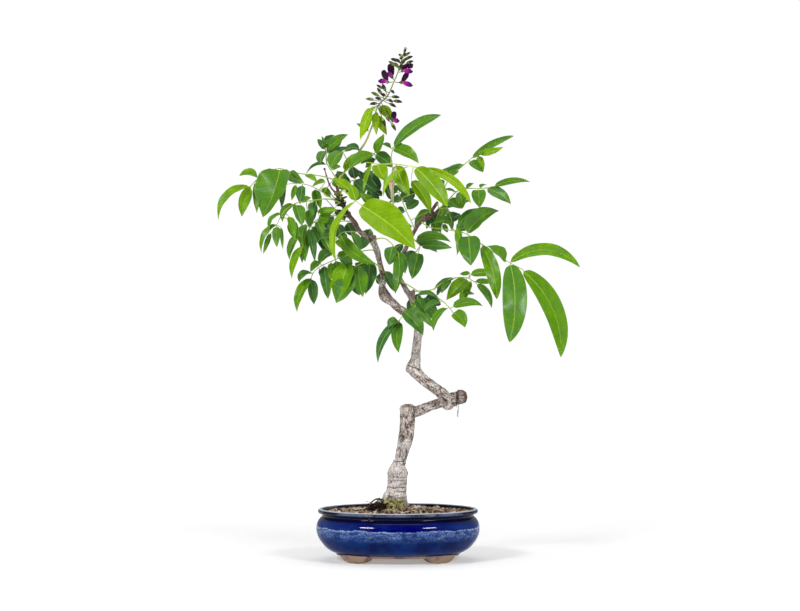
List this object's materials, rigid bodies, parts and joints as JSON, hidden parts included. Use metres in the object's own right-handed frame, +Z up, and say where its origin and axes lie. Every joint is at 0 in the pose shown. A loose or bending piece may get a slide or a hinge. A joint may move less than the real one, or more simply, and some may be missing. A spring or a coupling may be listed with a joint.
{
  "type": "millettia bonsai",
  "caption": "Informal upright bonsai with a zigzag trunk, pinnate leaves and a short raceme of pea flowers, planted in an oval glazed pot on four feet.",
  "frame": {"origin": "on the ground under the middle of the pot", "axes": "+Z up, the front of the tree faces -Y, +X to the right as seen from the front"},
  "size_m": [0.4723, 0.2309, 0.6899],
  "materials": {
    "glazed_pot": "deep cobalt glaze that breaks to a pale speckle under the belly, unglazed tan feet",
    "drain_screen": "black moulded mesh",
    "soil": "mixed tan, brown and pale grit",
    "bark": "grey-beige bark with ring cracks and scars, red-brown on the twigs",
    "leaf": "waxy green leaf with a pale midrib",
    "young_leaf": "soft lime-green young leaf",
    "dried_leaf": "dry curled beige leaf",
    "flower_stalk": "fine-haired green-brown stalk with dark buds",
    "petal": "velvety dark purple petal with a magenta keel",
    "tag_card": "plain white card",
    "tag_wire": "dark annealed wire"
  },
  "bodies": {
    "root": {"pot": "glazed_pot", "drain_screen_left": "drain_screen", "drain_screen_right": "drain_screen", "soil": "soil", "trunk": "bark", "flower_shoot": "young_leaf", "raceme": "flower_stalk", "frond_far_left": "leaf", "frond_left_low": "leaf", "frond_left_front": "leaf", "frond_left_drop": "leaf", "frond_left_under": "leaf", "frond_left_hanging": "leaf", "frond_left_inner": "leaf", "young_centre": "young_leaf", "frond_top_left": "leaf", "frond_crown_left": "leaf", "frond_crown_middle": "leaf", "young_upper_front": "young_leaf", "frond_upper_spray": "leaf", "frond_upper_right": "leaf", "frond_right_middle": "leaf", "frond_right_short": "leaf", "frond_right_long": "leaf", "frond_mid_right": "leaf", "frond_mid_front": "leaf", "frond_lower_right": "leaf", "frond_lower_far": "leaf", "frond_fork_front": "leaf", "frond_fork_left": "leaf", "back_fork": "leaf", "back_lower_left": "leaf", "back_left": "leaf", "back_upper_left": "leaf", "back_centre": "leaf", "back_right": "leaf", "dried_leaf": "dried_leaf", "floret_1": "petal", "floret_2": "petal", "floret_3": "petal", "floret_4": "petal", "floret_5": "petal", "floret_6": "petal", "tag_card": "tag_card", "tag_wire": "tag_wire"}
  },
  "joints": []
}
